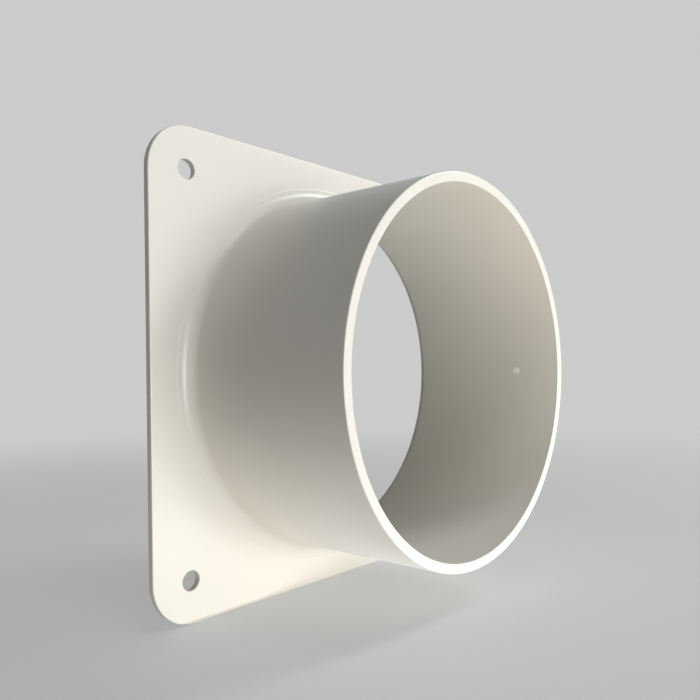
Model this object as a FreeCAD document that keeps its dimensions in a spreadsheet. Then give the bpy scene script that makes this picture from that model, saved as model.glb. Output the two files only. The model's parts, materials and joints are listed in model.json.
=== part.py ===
import FreeCAD, Part
import math
import os
import Sketcher

# Flanged duct connector: a thin square plate with a round spigot on it, moulded in one piece.
# Millimetres, +Z up. The bore runs along Y. The back of the plate lies on the plane y = 0, the
# spigot points towards -Y, and the origin is where the axis of the bore meets the plate's back.

NODE = "duct_connector"

# Driving dimensions: alias, value, what it is
SIZES = (
    ("spigot_diameter", 100.0, "outside of the spigot, which a duct slides over"),
    ("spigot_reach", 52.4, "from the back of the plate to the open end"),
    ("spigot_wall", 2.5, "wall of the spigot"),
    ("rim_bevel", 0.3, "lead-in on both edges of the open end"),
    ("bore_entry_radius", 2.8, "rounding where the bore opens in the plate's back"),
    ("plate_margin", 11.25, "from the spigot's outside to each side of the plate"),
    ("plate_thickness", 1.8, "plate"),
    ("corner_radius", 12.0, "corners of the plate, seen from the front"),
    ("outline_round", 0.3, "softened front edge all round the plate"),
    ("hole_diameter", 5.0, "screw holes"),
    ("hole_inset", 10.75, "from each side of the plate to the centre of a screw hole"),
    ("foot_ring_width", 4.0, "from the spigot's wall to the outer edge of its foot ring"),
    ("foot_ring_height", 0.3, "foot ring above the plate's front"),
    ("foot_ring_bevel", 0.2, "broken outer edge of the foot ring"),
    ("root_radius", 3.2, "hollow rounding between the spigot's wall and its foot ring"),
)
HOLE_COUNT = 4
FULL_TURN = 360.0
# Two places closer than this are the same place
MATCH = 0.001


def fill_sheet(doc):
    """Write the driving dimensions into a sheet, one row each, with their aliases."""
    sheet = doc.addObject("Spreadsheet::Sheet", "Sizes")
    for row, (alias, value, meaning) in enumerate(SIZES, start=1):
        sheet.set(f"A{row}", meaning)
        sheet.set(f"B{row}", str(value))
        sheet.setAlias(f"B{row}", alias)
    doc.recompute()
    return sheet


def new_sketch(body, name, role, depth_rule=None):
    """Add a sketch on one of the body's own origin planes, or on a plane moved along its normal."""
    plane = next(item for item in body.Origin.OriginFeatures if item.Role == role)
    sketch = body.newObject("Sketcher::SketchObject", name)
    sketch.AttachmentSupport = [(plane, "")]
    sketch.MapMode = "FlatFace"
    if depth_rule:
        sketch.setExpression("AttachmentOffset.Base.z", depth_rule)
    return sketch


def drive(sketch, name, constraint, expression):
    """Add a dimension to a sketch and bind it to the sheet."""
    index = sketch.addConstraint(constraint)
    sketch.renameConstraint(index, name)
    sketch.setExpression(f"Constraints.{name}", expression)


def square_up(sketch, level_lines, upright_lines):
    """Keep some lines of a sketch level and others upright."""
    for line in level_lines:
        sketch.addConstraint(Sketcher.Constraint("Horizontal", line))
    for line in upright_lines:
        sketch.addConstraint(Sketcher.Constraint("Vertical", line))


def closed_outline(sketch, points):
    """Draw a closed run of straight lines through the points, the first of them on the origin."""
    for start, end in zip(points, points[1:] + points[:1]):
        sketch.addGeometry(Part.LineSegment(FreeCAD.Vector(*start, 0), FreeCAD.Vector(*end, 0)))
    for line in range(len(points)):
        following = (line + 1) % len(points)
        sketch.addConstraint(Sketcher.Constraint("Coincident", line, 2, following, 1))
    sketch.addConstraint(Sketcher.Constraint("Coincident", 0, 1, -1, 1))


def rounded_square(sketch, side, radius):
    """Draw a square with rounded corners about the sketch's centre, as lines 0-3 and arcs 4-7."""
    half = side / 2
    flat = half - radius
    ends = (((-flat, -half), (flat, -half)), ((half, -flat), (half, flat)),
            ((flat, half), (-flat, half)), ((-half, flat), (-half, -flat)))
    for start, end in ends:
        sketch.addGeometry(Part.LineSegment(FreeCAD.Vector(*start, 0), FreeCAD.Vector(*end, 0)))
    for corner, centre in enumerate(((flat, -flat), (flat, flat), (-flat, flat), (-flat, -flat))):
        circle = Part.Circle(FreeCAD.Vector(*centre, 0), FreeCAD.Vector(0, 0, 1), radius)
        start_angle = math.radians(90 * (corner - 1))
        sketch.addGeometry(Part.ArcOfCircle(circle, start_angle, start_angle + math.pi / 2))
    for line in range(4):
        sketch.addConstraint(Sketcher.Constraint("Tangent", line, 2, 4 + line, 1))
        sketch.addConstraint(Sketcher.Constraint("Tangent", 4 + line, 2, (line + 1) % 4, 1))
    square_up(sketch, level_lines=(0, 2), upright_lines=(1, 3))
    for arc in (5, 6, 7):
        sketch.addConstraint(Sketcher.Constraint("Equal", 4, arc))
    sketch.addConstraint(Sketcher.Constraint("Symmetric", 4, 3, 6, 3, -1, 1))


def circle_at(sketch, across, upright, diameter):
    """Draw one circle, the sketch's only curve."""
    centre = FreeCAD.Vector(across, upright, 0)
    sketch.addGeometry(Part.Circle(centre, FreeCAD.Vector(0, 0, 1), diameter / 2))


def soften(body, name, base, edges, radius_rule):
    """Round some edges of the last feature by a radius from the sheet."""
    fillet = body.newObject("PartDesign::Fillet", name)
    fillet.Base = (base, edges)
    fillet.setExpression("Radius", radius_rule)
    body.Document.recompute()
    return fillet


def bevel(body, name, base, edges, size_rule):
    """Break some edges of the last feature at 45 degrees by a size from the sheet."""
    chamfer = body.newObject("PartDesign::Chamfer", name)
    chamfer.Base = (base, edges)
    chamfer.setExpression("Size", size_rule)
    body.Document.recompute()
    return chamfer


def make_plate(body, size):
    """The square plate, from y = 0 towards -Y, with rounded corners and a softened front edge."""
    side = size["spigot_diameter"] + 2 * size["plate_margin"]
    side_rule = "Sizes.spigot_diameter + 2 * Sizes.plate_margin"
    sketch = new_sketch(body, "plate_outline", "XZ_Plane")
    rounded_square(sketch, side, size["corner_radius"])
    drive(sketch, "across", Sketcher.Constraint("DistanceX", 3, 1, 1, 2, side), side_rule)
    drive(sketch, "upright", Sketcher.Constraint("DistanceY", 0, 1, 2, 2, side), side_rule)
    corner = Sketcher.Constraint("Radius", 4, size["corner_radius"])
    drive(sketch, "corner", corner, "Sizes.corner_radius")

    plate = body.newObject("PartDesign::Pad", "plate")
    plate.Profile = (sketch, [""])
    plate.setExpression("Length", "Sizes.plate_thickness")
    body.Document.recompute()

    front_edges = [f"Edge{index}" for index, edge in enumerate(plate.Shape.Edges, start=1)
                   if abs(edge.CenterOfMass.y + size["plate_thickness"]) < MATCH]
    soften(body, "plate_front_edge", plate, front_edges, "Sizes.outline_round")


def make_spigot(body, size):
    """The spigot with the low ring round its foot, turned about Y and not yet bored."""
    radius = size["spigot_diameter"] / 2
    reach = size["spigot_reach"]
    ring_top = size["plate_thickness"] + size["foot_ring_height"]
    ring = radius + size["foot_ring_width"]
    sketch = new_sketch(body, "spigot_profile", "YZ_Plane")
    section = [(0, 0), (-reach, 0), (-reach, radius), (-ring_top, radius), (-ring_top, ring), (0, ring)]
    closed_outline(sketch, section)
    square_up(sketch, level_lines=(0, 2, 4), upright_lines=(1, 3, 5))
    drive(sketch, "reach", Sketcher.Constraint("DistanceX", 0, 2, 0, 1, reach), "Sizes.spigot_reach")
    wall = Sketcher.Constraint("DistanceY", 1, 1, 1, 2, radius)
    drive(sketch, "wall", wall, "Sizes.spigot_diameter / 2")
    top = Sketcher.Constraint("DistanceX", 2, 2, 0, 1, ring_top)
    drive(sketch, "ring_top", top, "Sizes.plate_thickness + Sizes.foot_ring_height")
    width = Sketcher.Constraint("DistanceY", 3, 1, 3, 2, size["foot_ring_width"])
    drive(sketch, "ring_width", width, "Sizes.foot_ring_width")

    spigot = body.newObject("PartDesign::Revolution", "spigot")
    spigot.Profile = (sketch, [""])
    spigot.ReferenceAxis = (sketch, ["H_Axis"])
    spigot.Angle = FULL_TURN
    body.Document.recompute()


def cut_bore(body, size):
    """The air way, bored from the open end right through the plate."""
    diameter = size["spigot_diameter"] - 2 * size["spigot_wall"]
    sketch = new_sketch(body, "bore_circle", "XZ_Plane", "Sizes.spigot_reach")
    circle_at(sketch, 0, 0, diameter)
    sketch.addConstraint(Sketcher.Constraint("Coincident", 0, 3, -1, 1))
    width = Sketcher.Constraint("Diameter", 0, diameter)
    drive(sketch, "width", width, "Sizes.spigot_diameter - 2 * Sizes.spigot_wall")

    bore = body.newObject("PartDesign::Pocket", "bore")
    bore.Profile = (sketch, [""])
    bore.Type = "ThroughAll"
    body.Document.recompute()
    return bore


def turned_edges(shape, depth):
    """Names of the circles round the Y axis at y = -depth, from the smallest to the largest."""
    found = []
    for index, edge in enumerate(shape.Edges, start=1):
        if not isinstance(edge.Curve, Part.Circle):
            continue
        centre = edge.Curve.Center
        if math.hypot(centre.x, centre.z) < MATCH and abs(centre.y + depth) < MATCH:
            found.append((edge.Curve.Radius, f"Edge{index}"))
    return [name for radius, name in sorted(found)]


def finish_spigot(body, size, bore):
    """The hollow root, the bore's rounded entry, and the broken edges of ring and open end."""
    ring_top = size["plate_thickness"] + size["foot_ring_height"]
    root_edge = turned_edges(bore.Shape, ring_top)[0]
    root = soften(body, "root", bore, [root_edge], "Sizes.root_radius")
    entry_edge = turned_edges(root.Shape, 0.0)[0]
    entry = soften(body, "bore_entry", root, [entry_edge], "Sizes.bore_entry_radius")
    ring_edge = turned_edges(entry.Shape, ring_top)[-1]
    ring = bevel(body, "foot_ring_edge", entry, [ring_edge], "Sizes.foot_ring_bevel")
    rim_edges = turned_edges(ring.Shape, size["spigot_reach"])
    bevel(body, "rim", ring, rim_edges, "Sizes.rim_bevel")


def drill_holes(body, size):
    """The four screw holes, one drilled from the front and then repeated round the bore."""
    place = size["spigot_diameter"] / 2 + size["plate_margin"] - size["hole_inset"]
    place_rule = "Sizes.spigot_diameter / 2 + Sizes.plate_margin - Sizes.hole_inset"
    sketch = new_sketch(body, "hole_circle", "XZ_Plane", "Sizes.plate_thickness")
    circle_at(sketch, place, place, size["hole_diameter"])
    drive(sketch, "across", Sketcher.Constraint("DistanceX", -1, 1, 0, 3, place), place_rule)
    drive(sketch, "upright", Sketcher.Constraint("DistanceY", -1, 1, 0, 3, place), place_rule)
    width = Sketcher.Constraint("Diameter", 0, size["hole_diameter"])
    drive(sketch, "width", width, "Sizes.hole_diameter")
    body.Document.recompute()

    hole = body.newObject("PartDesign::Hole", "screw_hole")
    hole.Profile = (sketch, [""])
    hole.DepthType = "ThroughAll"
    hole.setExpression("Diameter", "Sizes.hole_diameter")
    body.Document.recompute()

    holes = body.newObject("PartDesign::PolarPattern", "screw_holes")
    holes.Originals = [hole]
    holes.Axis = (sketch, ["N_Axis"])
    holes.Angle = FULL_TURN
    holes.Occurrences = HOLE_COUNT
    body.Tip = holes
    body.Document.recompute()


def check(doc, bodies):
    """Stop if any object failed or any sub-part has no sound solid."""
    for item in doc.Objects:
        if "Invalid" in item.State or "Error" in item.State:
            raise RuntimeError(f"{item.Name} failed: {item.State}")
    for body in bodies:
        shape = body.Shape
        if shape.isNull() or not shape.isValid() or len(shape.Solids) != 1:
            raise RuntimeError(f"{body.Label} is not one sound solid")


doc = FreeCAD.newDocument("duct_connector")
sheet = fill_sheet(doc)
size = {alias: float(sheet.get(alias)) for alias, value, meaning in SIZES}

body = doc.addObject("PartDesign::Body", "Body")
body.Label = NODE
make_plate(body, size)
make_spigot(body, size)
bore = cut_bore(body, size)
finish_spigot(body, size, bore)
drill_holes(body, size)

check(doc, [body])
os.makedirs("parts", exist_ok=True)
body.Shape.exportStep(f"parts/{body.Label}.step")
print(f"{body.Label}: {body.Shape.Volume / 1000:.2f} cubic centimetres")
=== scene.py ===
"""Looks of a flanged duct connector, moulded in one piece of off-white plastic.

A square plate with rounded corners carries a straight round spigot. The scene's own mesh
keeps the sizes of the solid, and adds the small moulded roundings of every edge. Only its
foot ring is lower and softer than the solid's.
"""
import json
import math

import bmesh
import bpy
from mathutils import Matrix, Vector


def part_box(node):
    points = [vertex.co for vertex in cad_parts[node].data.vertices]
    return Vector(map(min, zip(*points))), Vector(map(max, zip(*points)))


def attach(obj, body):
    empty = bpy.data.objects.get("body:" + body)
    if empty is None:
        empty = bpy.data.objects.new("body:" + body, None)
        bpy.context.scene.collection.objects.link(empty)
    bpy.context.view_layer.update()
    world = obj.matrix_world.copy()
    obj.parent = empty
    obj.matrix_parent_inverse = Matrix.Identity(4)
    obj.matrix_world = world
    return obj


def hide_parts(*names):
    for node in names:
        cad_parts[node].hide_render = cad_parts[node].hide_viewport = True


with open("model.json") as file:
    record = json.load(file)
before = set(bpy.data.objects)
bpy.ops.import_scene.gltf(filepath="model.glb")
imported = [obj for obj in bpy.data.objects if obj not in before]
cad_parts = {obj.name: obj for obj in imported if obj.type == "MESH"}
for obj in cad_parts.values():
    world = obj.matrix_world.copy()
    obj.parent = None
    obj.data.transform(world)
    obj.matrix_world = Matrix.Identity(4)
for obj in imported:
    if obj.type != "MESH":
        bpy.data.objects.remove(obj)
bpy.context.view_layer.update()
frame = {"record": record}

MM = 0.001

# Sizes that the frame gives
mounts = {mount["name"]: mount for mount in frame["record"]["mounts"]}
plate_low, plate_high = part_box("duct_connector")
PLATE_HALF = plate_high.x
RIM_DEPTH = plate_low.y
SPIGOT_RADIUS = mounts["spigot"]["dims"]["r_mm"] * MM
BORE_RADIUS = mounts["bore"]["dims"]["r_mm"] * MM
HOLE_RADIUS = mounts["screw_holes"]["dims"]["hole_r_mm"] * MM
HOLE_OFFSET = mounts["screw_holes"]["dims"]["spacing_x_mm"] / 2 * MM

# Plate
PLATE_THICKNESS = 1.8 * MM
PLATE_FRONT = -PLATE_THICKNESS
PLATE_BACK = 0.0
CORNER_RADIUS = 12.0 * MM
FRONT_EDGE_ROUND = 0.3 * MM
BACK_EDGE_ROUND = 0.15 * MM
HOLE_EDGE_ROUND = 0.15 * MM

# Foot of the spigot, its rim and its bore
FOOT_RADIUS = SPIGOT_RADIUS + 4.2 * MM
FOOT_TOP = PLATE_FRONT - 0.1 * MM
FOOT_SLOPE = 0.5 * MM
FOOT_EDGE_ROUND = 0.12 * MM
ROOT_ROUND = 3.2 * MM
RIM_ROUND = 0.3 * MM
ENTRY_ROUND = 2.8 * MM

# Fineness of the mesh
FLAT_BAND = 0.8 * MM
SPIGOT_SIDES = 256
HOLE_SIDES = 48
WALL_ROWS = 12
SMALL_STEPS = 4
WIDE_STEPS = 10
CORNER_STEPS = 20

# What counts as the same place, as flat and as smooth
SAME_PLACE = 0.02 * MM
JOIN_DISTANCE = 0.002 * MM
FLAT_FACING = 0.999
SMOOTH_ANGLE = math.radians(40)
FLAT_FACE_WEIGHT = 100

# Gate mark on the inner wall
GATE_DEPTH = -38.2 * MM
GATE_RADIUS = 1.0 * MM
GATE_HEIGHT = 0.18 * MM
GATE_EDGE_ROUND = 0.16 * MM
GATE_SIDES = 32
GATE_SUNK = 0.5 * MM
GATE_PLACE = (BORE_RADIUS, GATE_DEPTH, 0)
GATE_PALE_INSIDE = 0.7 * MM
GATE_PALE_OUTSIDE = 1.3 * MM

# Camera, where the photograph was taken from
IMAGE_SIDE = 700
CAMERA_YAW = math.radians(-49.717)
CAMERA_PITCH = math.radians(0.59)
CAMERA_ROLL = math.radians(-0.536)
CAMERA_TARGET = Vector((-17.169, -30.0, 0.185)) * MM
CAMERA_DISTANCE = 181.568 * MM
FOCAL_PIXELS = 711.153
MIDDLE_ACROSS = 364.467
MIDDLE_DOWN = 372.851
SENSOR_WIDTH = 36.0
NEAREST = 0.01

# Floor and backdrop
FLOOR_LEVEL = plate_low.z
FLOOR_RADIUS = 3.0
FLOOR_SIDES = 96
FADE_START = 0.12
FADE_END = 0.55
PLAIN_SHARE = 0.6
FLOOR_COLOUR = (0.70, 0.70, 0.70, 1)
BACKDROP_COLOUR = (0.60, 0.60, 0.60, 1)
AMBIENT_COLOUR = (0.0, 0.0, 0.0, 1)
SEEN_RAYS = ("Is Camera Ray", "Is Glossy Ray", "Is Transmission Ray")

# Lamps
LAMP_AIM = Vector((0, -30.0, 0)) * MM
LAMP_LIFT = 0.75 * MM
SOFT_LIGHT = (0.975, 0.985, 1.0)
COOL_LIGHT = (0.92, 0.96, 1.0)
WARM_LIGHT = (1.0, 0.965, 0.9)

# Plastic: its cooler and warmer parts, the torn gate mark, and the relief of its skin
COOL_OFF_WHITE = (0.72, 0.705, 0.635, 1)
WARM_OFF_WHITE = (0.74, 0.70, 0.62, 1)
TORN_WHITE = (0.96, 0.94, 0.90, 1)
GRAIN_HEIGHT = 0.02 * MM
GRAIN_STRENGTH = 0.3
WAVE_HEIGHT = 0.1 * MM
WAVE_STRENGTH = 0.4

# Plastic: how rough it is, and how much rougher where it is mottled or torn
SATIN_ROUGHNESS = 0.29
MOTTLE_ROUGHNESS = 0.08
TORN_ROUGHNESS = 0.2


def start_piece(name):
    """Turn the primitive that was just added into a named piece with its place in its mesh."""
    piece = bpy.context.active_object
    piece.name = name
    piece.data.name = name
    bpy.ops.object.transform_apply(location=True, rotation=True, scale=True)
    return piece


def pick(piece, mode, wanted):
    """Select the faces or edges that fit, and nothing else."""
    bpy.ops.mesh.select_mode(type=mode)
    bpy.ops.mesh.select_all(action="DESELECT")
    shape = bmesh.from_edit_mesh(piece.data)
    parts = shape.faces if mode == "FACE" else shape.edges
    for part in parts:
        if wanted(part):
            part.select_set(True)
    shape.select_flush_mode()
    bmesh.update_edit_mesh(piece.data)


def near(first, second):
    """Say whether two sizes are the same."""
    return abs(first - second) < SAME_PLACE


def lies_at(edge, depth):
    """Say whether both ends of an edge lie at a depth."""
    return all(near(corner.co.y, depth) for corner in edge.verts)


def is_flat(face, depth):
    """Say whether a face is the flat front or back of the plate."""
    return abs(face.normal.y) > FLAT_FACING and near(face.calc_center_median().y, depth)


def on_ring(edge, centre, radius, depth):
    """Say whether an edge lies along a circle round a centre line."""
    middle = Vector((centre.x, depth, centre.z))
    round_it = all(near((corner.co - middle).length, radius) for corner in edge.verts)
    return lies_at(edge, depth) and round_it


def bevel_picked(width, steps):
    """Round the picked edges."""
    bpy.ops.mesh.bevel(offset_type="OFFSET", offset=width, segments=steps, affect="EDGES")


def round_ring(piece, centre, radius, depth, width, steps):
    """Round one circular edge."""
    pick(piece, "EDGE", lambda edge: on_ring(edge, centre, radius, depth))
    bevel_picked(width, steps)


def draw_ring(centre, sides, stations):
    """Start from a circle and draw its edge out through stations of radius and depth."""
    radius, depth = stations[0]
    bpy.ops.mesh.primitive_circle_add(
        vertices=sides,
        radius=radius,
        location=(centre.x, depth, centre.z),
        rotation=(math.radians(90), 0, 0),
    )
    for next_radius, next_depth in stations[1:]:
        bpy.ops.mesh.extrude_edges_move(TRANSFORM_OT_translate={"value": (0, next_depth - depth, 0)})
        growth = next_radius / radius
        bpy.ops.transform.resize(value=(growth, 1, growth), center_override=(centre.x, next_depth, centre.z))
        radius, depth = next_radius, next_depth


def shape_plate():
    """Shape the plate from a block: round corners, soft edges, and open flats on both sides."""
    bpy.ops.mesh.primitive_cube_add(
        size=1,
        location=(0, (PLATE_FRONT + PLATE_BACK) / 2, 0),
        scale=(2 * PLATE_HALF, PLATE_THICKNESS, 2 * PLATE_HALF),
    )
    piece = start_piece("duct_connector_moulding")
    bpy.ops.object.mode_set(mode="EDIT")
    pick(piece, "EDGE", lambda edge: not near(edge.verts[0].co.y, edge.verts[1].co.y))
    bevel_picked(CORNER_RADIUS, CORNER_STEPS)
    for depth, width in ((PLATE_FRONT, FRONT_EDGE_ROUND), (PLATE_BACK, BACK_EDGE_ROUND)):
        pick(piece, "EDGE", lambda edge: lies_at(edge, depth))
        bevel_picked(width, SMALL_STEPS)
        pick(piece, "FACE", lambda face: is_flat(face, depth))
        bpy.ops.mesh.inset(thickness=FLAT_BAND)
        bpy.ops.mesh.delete(type="ONLY_FACE")
    return piece


def draw_spigot(piece):
    """Draw the foot ring, the wall, the rim and the bore as one skin, and round their edges."""
    axis = Vector((0, 0, 0))
    foot_flat = (FOOT_RADIUS + FLAT_BAND, PLATE_FRONT)
    foot = [foot_flat, (FOOT_RADIUS, PLATE_FRONT), (FOOT_RADIUS - FOOT_SLOPE, FOOT_TOP)]
    shares = [row / WALL_ROWS for row in range(WALL_ROWS + 1)]
    outside = [(SPIGOT_RADIUS, FOOT_TOP + (RIM_DEPTH - FOOT_TOP) * share) for share in shares]
    inside = [(BORE_RADIUS, RIM_DEPTH * (1 - share)) for share in shares]
    back = [(BORE_RADIUS + ENTRY_ROUND + FLAT_BAND, PLATE_BACK)]
    draw_ring(axis, SPIGOT_SIDES, foot + outside + inside + back)
    round_ring(piece, axis, FOOT_RADIUS - FOOT_SLOPE, FOOT_TOP, FOOT_EDGE_ROUND, SMALL_STEPS)
    round_ring(piece, axis, FOOT_RADIUS, PLATE_FRONT, FOOT_EDGE_ROUND, SMALL_STEPS)
    round_ring(piece, axis, SPIGOT_RADIUS, FOOT_TOP, ROOT_ROUND, WIDE_STEPS)
    round_ring(piece, axis, SPIGOT_RADIUS, RIM_DEPTH, RIM_ROUND, SMALL_STEPS)
    round_ring(piece, axis, BORE_RADIUS, RIM_DEPTH, RIM_ROUND, SMALL_STEPS)
    round_ring(piece, axis, BORE_RADIUS, PLATE_BACK, ENTRY_ROUND, WIDE_STEPS)


def draw_screw_holes(piece):
    """Draw the four screw holes through the plate, with softened mouths."""
    wide = HOLE_RADIUS + FLAT_BAND
    front = [(wide, PLATE_FRONT), (HOLE_RADIUS, PLATE_FRONT)]
    back = [(HOLE_RADIUS, PLATE_BACK), (wide, PLATE_BACK)]
    for across in (-HOLE_OFFSET, HOLE_OFFSET):
        for up in (-HOLE_OFFSET, HOLE_OFFSET):
            centre = Vector((across, 0, up))
            draw_ring(centre, HOLE_SIDES, front + back)
            for depth in (PLATE_FRONT, PLATE_BACK):
                round_ring(piece, centre, HOLE_RADIUS, depth, HOLE_EDGE_ROUND, SMALL_STEPS)


def close_flats(piece):
    """Fill the flat front and back of the plate between the outline, the spigot and the holes."""
    for depth in (PLATE_FRONT, PLATE_BACK):
        pick(piece, "EDGE", lambda edge: edge.is_boundary and lies_at(edge, depth))
        bpy.ops.mesh.fill()
        bpy.ops.mesh.tris_convert_to_quads()


def close_skin(piece):
    """Join the meeting edges and turn all faces outwards."""
    bpy.ops.mesh.select_all(action="SELECT")
    bpy.ops.mesh.remove_doubles(threshold=JOIN_DISTANCE)
    bpy.ops.mesh.normals_make_consistent(inside=False)
    bpy.ops.object.mode_set(mode="OBJECT")


def add_gate_mark(piece):
    """Grow the low round stub of the moulding gate on the inner wall."""
    bpy.ops.object.select_all(action="DESELECT")
    middle = BORE_RADIUS + (GATE_SUNK - GATE_HEIGHT) / 2
    bpy.ops.mesh.primitive_cylinder_add(
        vertices=GATE_SIDES,
        radius=GATE_RADIUS,
        depth=GATE_SUNK + GATE_HEIGHT,
        location=(middle, GATE_DEPTH, 0),
        rotation=(0, math.radians(90), 0),
    )
    stub = start_piece("gate_mark")
    inner_end = BORE_RADIUS - GATE_HEIGHT
    bpy.ops.object.mode_set(mode="EDIT")
    pick(stub, "EDGE", lambda edge: all(near(corner.co.x, inner_end) for corner in edge.verts))
    bevel_picked(GATE_EDGE_ROUND, SMALL_STEPS)
    bpy.ops.object.mode_set(mode="OBJECT")
    bpy.ops.object.select_all(action="DESELECT")
    bpy.context.view_layer.objects.active = piece
    piece.select_set(True)
    union = piece.modifiers.new("gate mark", "BOOLEAN")
    union.operation = "UNION"
    union.solver = "EXACT"
    union.object = stub
    bpy.ops.object.modifier_apply(modifier=union.name)
    bpy.data.objects.remove(stub)


def finish_shading(piece):
    """Shade the roundings smoothly beside the true flats."""
    bpy.ops.object.shade_smooth_by_angle(angle=SMOOTH_ANGLE)
    weighted = piece.modifiers.new("weighted normals", "WEIGHTED_NORMAL")
    weighted.keep_sharp = True
    weighted.weight = FLAT_FACE_WEIGHT
    bpy.ops.object.modifier_apply(modifier=weighted.name)


def duct_connector():
    """Model the whole moulding."""
    bpy.ops.object.select_all(action="DESELECT")
    piece = shape_plate()
    draw_spigot(piece)
    draw_screw_holes(piece)
    close_flats(piece)
    close_skin(piece)
    add_gate_mark(piece)
    finish_shading(piece)
    return piece


class Wire:
    """One socket of a material's nodes, with arithmetic that adds Math nodes."""

    def __init__(self, tree, socket=None):
        self.tree = tree
        self.socket = socket

    def node(self, kind, settings, inputs, output=0):
        """Add any node: its settings first, then the values or links of its sockets."""
        made = self.tree.nodes.new(kind)
        for name, value in settings.items():
            setattr(made, name, value)
        for key, value in inputs.items():
            if isinstance(value, Wire):
                self.tree.links.new(value.socket, made.inputs[key])
            else:
                made.inputs[key].default_value = value
        if not made.outputs:
            return None
        return Wire(self.tree, made.outputs[output])

    def maths(self, operation, *values):
        """Add one Math node."""
        return self.node("ShaderNodeMath", {"operation": operation}, dict(enumerate(values)))

    def __add__(self, other):
        return self.maths("ADD", self, other)

    def __sub__(self, other):
        return self.maths("SUBTRACT", self, other)

    def __rsub__(self, other):
        return self.maths("SUBTRACT", other, self)

    def __mul__(self, other):
        return self.maths("MULTIPLY", self, other)

    __radd__ = __add__
    __rmul__ = __mul__


def new_surface(name):
    """Make an empty material, and a wire to build its nodes on."""
    material = bpy.data.materials.new(name)
    material.use_nodes = True
    material.node_tree.nodes.clear()
    return material, Wire(material.node_tree)


def cloud(place, scale, detail, roughness):
    """Give a soft cloud pattern between nought and one."""
    inputs = {"Vector": place, "Scale": scale, "Detail": detail, "Roughness": roughness}
    return place.node("ShaderNodeTexNoise", {}, inputs)


def blend(share, first, second):
    """Blend two colours by a share."""
    return share.node("ShaderNodeMix", {"data_type": "RGBA"}, {0: share, 6: first, 7: second}, 2)


def smooth_rise(value, start, end):
    """Rise smoothly from nought to one between two values."""
    inputs = {"Value": value, "From Min": start, "From Max": end}
    return value.node("ShaderNodeMapRange", {"interpolation_type": "SMOOTHSTEP"}, inputs)


def gate_paleness(place):
    """Give one on the gate mark, where the plastic was torn off, fading to nought round it."""
    ends = {0: place, 1: GATE_PLACE}
    distance = place.node("ShaderNodeVectorMath", {"operation": "DISTANCE"}, ends, "Value")
    return 1 - smooth_rise(distance, GATE_PALE_INSIDE, GATE_PALE_OUTSIDE)


def moulded_plastic():
    """Give the satin off-white of the moulding."""
    material, wire = new_surface("satin_off_white_plastic")
    place = wire.node("ShaderNodeTexCoord", {}, {}, "Object")
    drift = cloud(place, 14.0, 2.0, 0.5)
    mottle = cloud(place, 420.0, 3.0, 0.6)
    grain = cloud(place, 2600.0, 2.0, 0.5)
    waves = cloud(place, 70.0, 1.0, 0.4)
    torn = gate_paleness(place)
    colour = blend(torn, blend(drift, COOL_OFF_WHITE, WARM_OFF_WHITE), TORN_WHITE)
    fine = {"Strength": GRAIN_STRENGTH, "Distance": GRAIN_HEIGHT, "Height": grain}
    grained = wire.node("ShaderNodeBump", {}, fine)
    wide = {"Strength": WAVE_STRENGTH, "Distance": WAVE_HEIGHT, "Height": waves, "Normal": grained}
    bump = wire.node("ShaderNodeBump", {}, wide)
    roughness = SATIN_ROUGHNESS + MOTTLE_ROUGHNESS * mottle + TORN_ROUGHNESS * torn
    finish = {"Base Color": colour, "Roughness": roughness, "Normal": bump}
    shader = wire.node("ShaderNodeBsdfPrincipled", {}, finish)
    wire.node("ShaderNodeOutputMaterial", {}, {"Surface": shader})
    return material


def seen_rays(wire):
    """Give one for the rays that show the backdrop: straight, mirrored or through clear material."""
    paths = [wire.node("ShaderNodeLightPath", {}, {}, name) for name in SEEN_RAYS]
    either = wire.maths("MAXIMUM", paths[0], paths[1])
    return wire.maths("MAXIMUM", either, paths[2])


def floor_paint():
    """Paint the floor pale, fading into the backdrop's tone away from the connector."""
    material, wire = new_surface("floor_paint")
    place = wire.node("ShaderNodeTexCoord", {}, {}, "Object")
    reach = wire.node("ShaderNodeVectorMath", {"operation": "LENGTH"}, {0: place}, "Value")
    fade = smooth_rise(reach, FADE_START, FADE_END)
    paint = wire.node("ShaderNodeBsdfDiffuse", {}, {"Color": FLOOR_COLOUR})
    plain = wire.node("ShaderNodeEmission", {}, {"Color": BACKDROP_COLOUR})
    share = seen_rays(wire) * (PLAIN_SHARE + (1 - PLAIN_SHARE) * fade)
    mixed = wire.node("ShaderNodeMixShader", {}, {0: share, 1: paint, 2: plain})
    wire.node("ShaderNodeOutputMaterial", {}, {"Surface": mixed})
    return material


def lay_floor():
    """Lay the plain pale floor under the plate's lower edge."""
    bpy.ops.object.select_all(action="DESELECT")
    bpy.ops.mesh.primitive_circle_add(
        vertices=FLOOR_SIDES, radius=FLOOR_RADIUS, fill_type="NGON", location=(0, 0, FLOOR_LEVEL)
    )
    floor = start_piece("floor")
    floor.data.materials.append(floor_paint())


def hang_backdrop():
    """Surround the scene with a plain pale backdrop, which is seen but gives no light."""
    world = bpy.data.worlds.new("backdrop")
    bpy.context.scene.world = world
    world.use_nodes = True
    world.node_tree.nodes.clear()
    wire = Wire(world.node_tree)
    colour = blend(seen_rays(wire), AMBIENT_COLOUR, BACKDROP_COLOUR)
    background = wire.node("ShaderNodeBackground", {}, {"Color": colour})
    wire.node("ShaderNodeOutputWorld", {}, {"Surface": background})


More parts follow.
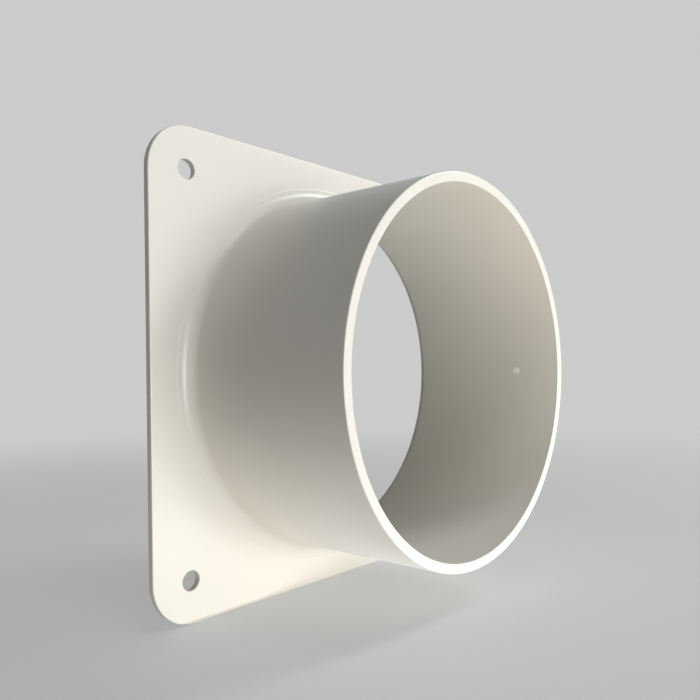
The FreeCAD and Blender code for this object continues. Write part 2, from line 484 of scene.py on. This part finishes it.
def set_lamp(name, place, aim, width, tall, power, tint):
    """Set up one soft oval lamp that isn't seen itself."""
    data = bpy.data.lights.new(name, "AREA")
    data.shape = "ELLIPSE"
    data.size = width
    data.size_y = tall
    data.energy = power
    data.color = tint
    lamp = bpy.data.objects.new(name, data)
    lamp.location = place
    lamp.rotation_euler = (place - aim).to_track_quat("Z", "Y").to_euler()
    lamp.visible_camera = False
    bpy.context.scene.collection.objects.link(lamp)


def hang_lamp(name, turn, height, distance, width, tall, power, tint):
    """Hang a lamp round the spigot: turned from the front to the right, and up, in degrees."""
    across = math.sin(math.radians(turn)) * math.cos(math.radians(height))
    back = -math.cos(math.radians(turn)) * math.cos(math.radians(height))
    place = LAMP_AIM + Vector((across, back, math.sin(math.radians(height)))) * distance
    set_lamp(name, place, LAMP_AIM, width, tall, power, tint)


def lay_lamp(name, across, forward, width, deep, power, tint):
    """Lay an oval lamp on the floor, shining straight up, as a pale floor throws light back."""
    place = Vector((across, -forward, FLOOR_LEVEL + LAMP_LIFT))
    set_lamp(name, place, place + Vector((0, 0, 1)), width, deep, power, tint)


def place_camera():
    """Stand the camera where the photograph was taken from."""
    flat = math.cos(CAMERA_PITCH)
    back = Vector((math.sin(CAMERA_YAW) * flat, -math.cos(CAMERA_YAW) * flat, math.sin(CAMERA_PITCH)))
    level_right = Vector((math.cos(CAMERA_YAW), math.sin(CAMERA_YAW), 0))
    level_up = back.cross(level_right)
    right = level_right * math.cos(CAMERA_ROLL) + level_up * math.sin(CAMERA_ROLL)
    up = level_up * math.cos(CAMERA_ROLL) - level_right * math.sin(CAMERA_ROLL)
    data = bpy.data.cameras.new("camera")
    data.sensor_width = SENSOR_WIDTH
    data.lens = SENSOR_WIDTH * FOCAL_PIXELS / IMAGE_SIDE
    data.shift_x = (IMAGE_SIDE / 2 - MIDDLE_ACROSS) / IMAGE_SIDE
    data.shift_y = (MIDDLE_DOWN - IMAGE_SIDE / 2) / IMAGE_SIDE
    data.clip_start = NEAREST
    camera = bpy.data.objects.new("camera", data)
    turn = Matrix((right, up, back)).transposed().to_4x4()
    camera.matrix_world = Matrix.Translation(CAMERA_TARGET + back * CAMERA_DISTANCE) @ turn
    bpy.context.scene.collection.objects.link(camera)
    bpy.context.scene.camera = camera


def light_the_scene():
    """Light it broadly from the front, from a high window, softly round it, and off the floor."""
    hang_lamp("front_light", -2, -0.3, 1.20, 0.85, 0.14, 9.6, SOFT_LIGHT)
    hang_lamp("low_front_light", 6, -5, 0.52, 0.38, 0.16, 0.70, SOFT_LIGHT)
    hang_lamp("window_light", 59, 42, 0.60, 0.18, 0.18, 1.42, COOL_LIGHT)
    hang_lamp("top_light", -25, 70, 0.50, 0.20, 0.20, 0.46, COOL_LIGHT)
    hang_lamp("left_light", -75, 0, 0.50, 0.20, 0.20, 0.16, WARM_LIGHT)
    hang_lamp("back_light", 115, 5, 0.90, 0.30, 0.30, 2.5, COOL_LIGHT)
    lay_lamp("near_bounce", -0.042, 0.037, 0.14, 0.072, 0.0138, SOFT_LIGHT)
    lay_lamp("front_bounce", 0.03, 0.11, 0.12, 0.12, 0.09, WARM_LIGHT)
    lay_lamp("left_bounce", -0.12, 0.04, 0.12, 0.12, 0.012, WARM_LIGHT)


connector = duct_connector()
connector.data.materials.clear()
connector.data.materials.append(moulded_plastic())
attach(connector, "root")
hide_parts("duct_connector")

place_camera()
lay_floor()
hang_backdrop()
light_the_scene()
bpy.context.scene.view_settings.view_transform = "Standard"
